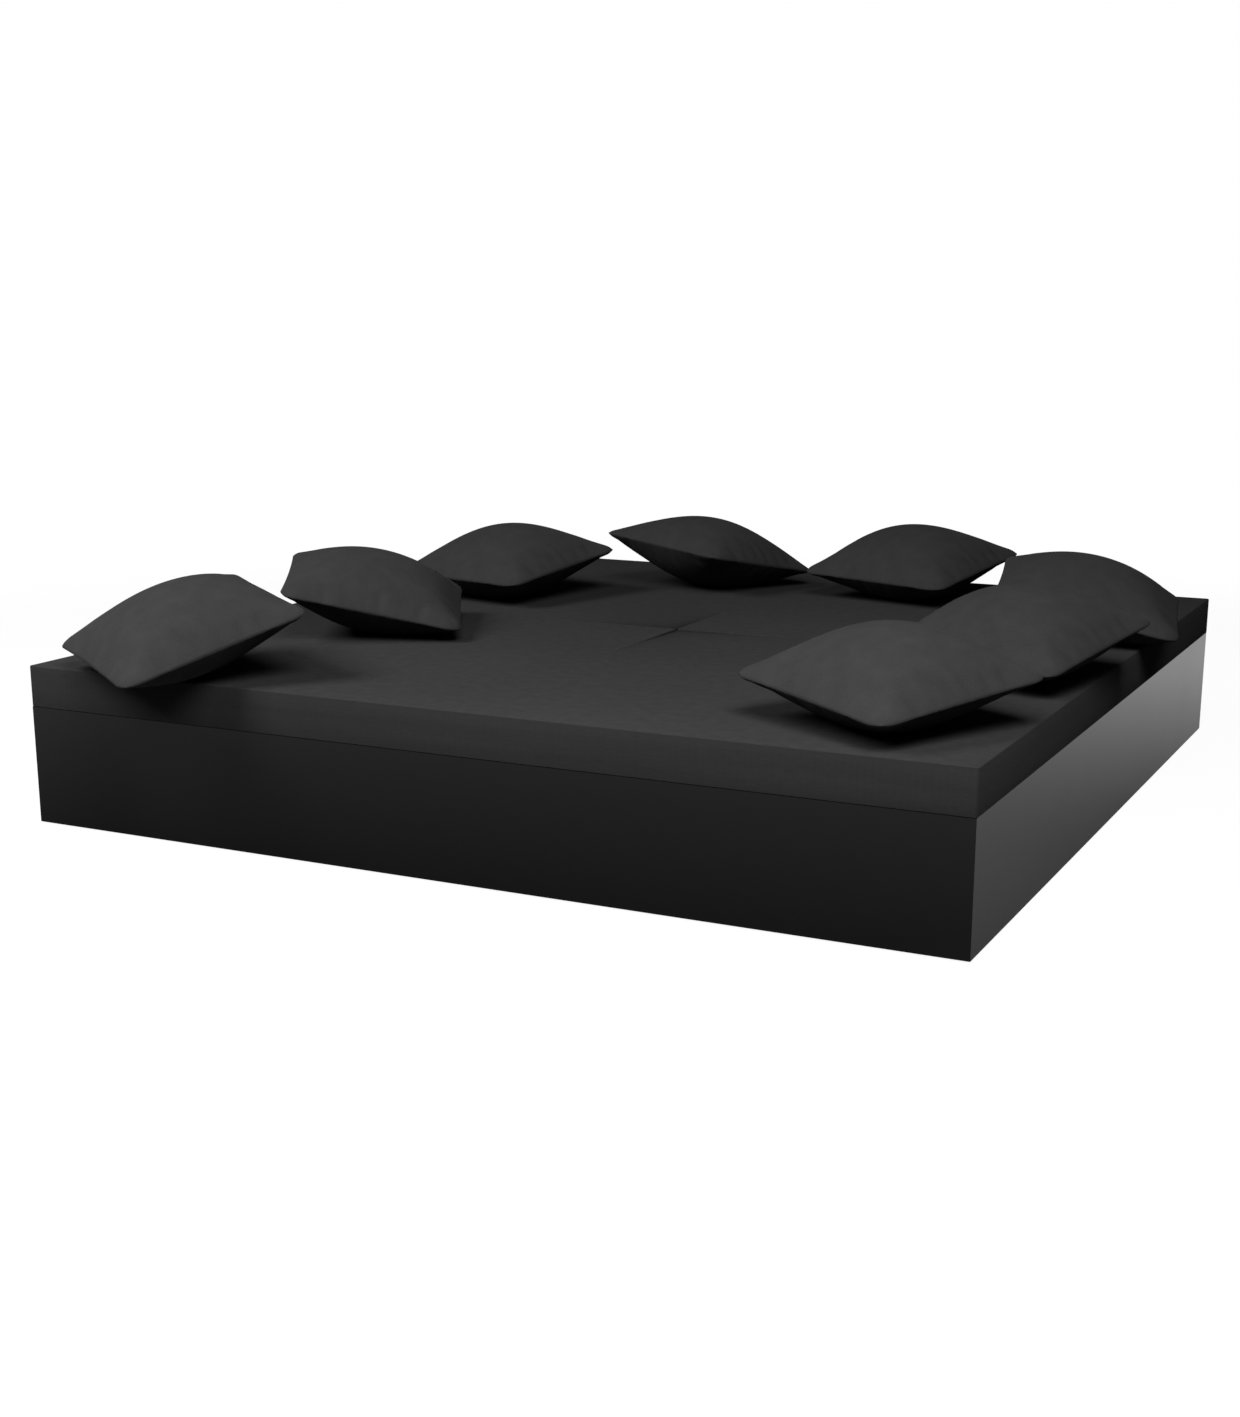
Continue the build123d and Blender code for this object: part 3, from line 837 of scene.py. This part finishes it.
deselect_everything()
bpy.ops.mesh.primitive_grid_add(x_subdivisions=SQUARES, y_subdivisions=SQUARES, size=PILLOW_SIDE)
pillow = bpy.context.object
pillow.name = "pillow"
pillow_half = PILLOW_SIDE / 2
uv = pillow.data.uv_layers.active.data
for corner, loop in enumerate(pillow.data.loops):
    uv[corner].uv = pillow.data.vertices[loop.vertex_index].co.xy
lower_half = copy_of(pillow, "lower_half")
for square, fullness in ((pillow, FULLNESS), (lower_half, FULLNESS_BELOW)):
    for vertex in square.data.vertices:
        x, y = vertex.co.xy
        vertex.co.z = stuffed(x, y, pillow_half, fullness)
        x, y = round_corner(x, y, pillow_half, PILLOW_CORNER)
        vertex.co.x, vertex.co.y = drawn_in(x, y, pillow_half)
lower_half.scale.z = -1
pillow.select_set(True)
lower_half.select_set(True)
bpy.ops.object.transform_apply(location=False, rotation=False, scale=True)
bpy.ops.object.join()
bpy.ops.object.mode_set(mode="EDIT")
bpy.ops.mesh.select_all(action="SELECT")
bpy.ops.mesh.remove_doubles(threshold=0.05 * MM)
pick(pillow, "FACE", lambda face: middle(face).z * face.normal.z < 0)
bpy.ops.mesh.flip_normals()
pick(pillow, "EDGE", lambda edge: all(abs(vertex.co.z) < SEAM_HEIGHT for vertex in edge.verts))
bpy.ops.transform.edge_crease(value=SEAM_CREASE)
bpy.ops.object.mode_set(mode="OBJECT")
print("The pillow has", len(pillow.data.polygons), "squares")

# %% Pillow: filling
PRESSURE = 10.0
STRETCH_STIFFNESS = 8
BEND_STIFFNESS = 10
SLACK = 0.01  # how much larger the cloth is cut than the pillow that it starts as
MOST_SWELL = 12 * MM  # a limit that keeps a pillow near the size of its solid
START_SHARE = 0.995  # how large the pillow starts
FILLING_STEPS = 20


def fill(pad, pressure, most):
    """Blows a closed piece of cloth up, and lets no point move further than most."""
    start = [vertex.co * START_SHARE for vertex in pad.data.vertices]
    for vertex, spot in zip(pad.data.vertices, start):
        vertex.co = spot
    seam = pad.vertex_groups.new(name="seam")
    sewn = [vertex.index for vertex in pad.data.vertices if abs(vertex.co.z) < SEAM_HEIGHT]
    seam.add(sewn, 1.0, "ADD")
    cloth = pad.modifiers.new("filling", "CLOTH")
    cloth.settings.vertex_group_mass = "seam"
    cloth.settings.effector_weights.gravity = 0
    cloth.settings.use_pressure = True
    cloth.settings.uniform_pressure_force = pressure
    cloth.settings.quality = 6
    cloth.settings.tension_stiffness = STRETCH_STIFFNESS
    cloth.settings.compression_stiffness = STRETCH_STIFFNESS
    cloth.settings.bending_stiffness = BEND_STIFFNESS
    cloth.settings.shrink_min = -SLACK
    cloth.collision_settings.use_collision = False
    for step in range(FILLING_STEPS):
        bpy.context.scene.frame_set(step + 1)
    filled = pad.evaluated_get(bpy.context.evaluated_depsgraph_get()).to_mesh()
    ends = [vertex.co.copy() for vertex in filled.vertices]
    pad.modifiers.remove(cloth)
    bpy.context.scene.frame_set(1)
    furthest = 0
    for vertex, spot, end in zip(pad.data.vertices, start, ends):
        move = end - spot
        furthest = max(furthest, move.length)
        vertex.co = spot + move * min(1, most / max(move.length, 1e-9))
    return furthest


print("Furthest swell before the limit:", round(fill(pillow, PRESSURE, MOST_SWELL) / MM, 1), "mm")
smoother = pillow.modifiers.new("smoother", "SUBSURF")
smoother.levels = smoother.render_levels = 1
deselect_everything()
pillow.select_set(True)
bpy.context.view_layer.objects.active = pillow
bpy.ops.object.modifier_apply(modifier="smoother")
bpy.ops.object.shade_smooth()
finish_with(pillow, pillow_cloth)

# %% [markdown]
# ## Pillows in their places
# The pillows were tossed along the left, the back and the right edge, so each one is turned its own
# way and leans on the swell of its underside. A simulation could drop them, but it would scatter them
# anew with every small change, so their turns are written down, and the middle of each comes from the
# frame. Each is let down until its weight presses it into the mattress a little, and the cloth that
# would sink in is pressed flat, as a soft pillow is where it rests.

# %% Pillow places
PILLOW_TURNS = {  # degrees: turn on the spot, then tip about the pillow's own two sides
    "pillow_1": (-32.5, 17, 4.5), "pillow_2": (30.5, 6, 12.5), "pillow_3": (-13, 7.5, 0),
    "pillow_4": (-19, -10.5, 4.5), "pillow_5": (-13.5, 7.5, 1.5), "pillow_6": (11.5, 5.5, 12),
    "pillow_7": (-16.5, 9, 2), "pillow_8": (-29, 6, 4.5),
}
SETTLED = 6 * MM  # how far a pillow's weight presses its lowest point in
REST_HEIGHT = mattress_top + 0.4 * MM
OVER_EDGE = 10 * MM  # cloth this little outside the mattress still lies level with its top
for name, (turn, tip_x, tip_y) in PILLOW_TURNS.items():
    low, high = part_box(name)
    twin = copy_of(pillow, f"{name}_cloth")
    twin.data.transform(
        Matrix.Translation((low + high) / 2)
        @ Matrix.Rotation(math.radians(turn), 4, "Z")
        @ Matrix.Rotation(math.radians(tip_x), 4, "X")
        @ Matrix.Rotation(math.radians(tip_y), 4, "Y")
    )
    supported = [
        vertex for vertex in twin.data.vertices
        if vertex.co.y > cover_low.y - OVER_EDGE and vertex.co.x < cover_high.x + OVER_EDGE
    ]
    drop = min(vertex.co.z for vertex in supported) + SETTLED - REST_HEIGHT
    twin.data.transform(Matrix.Translation((0, 0, -drop)))
    pressed = 0
    for vertex in supported:
        if vertex.co.z < REST_HEIGHT:
            vertex.co.z = REST_HEIGHT
            pressed += 1
    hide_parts(name)
    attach(twin, name)
    print(name, "is let down", round(drop / MM, 1), "mm and rests on", pressed, "points")
bpy.data.objects.remove(pillow)
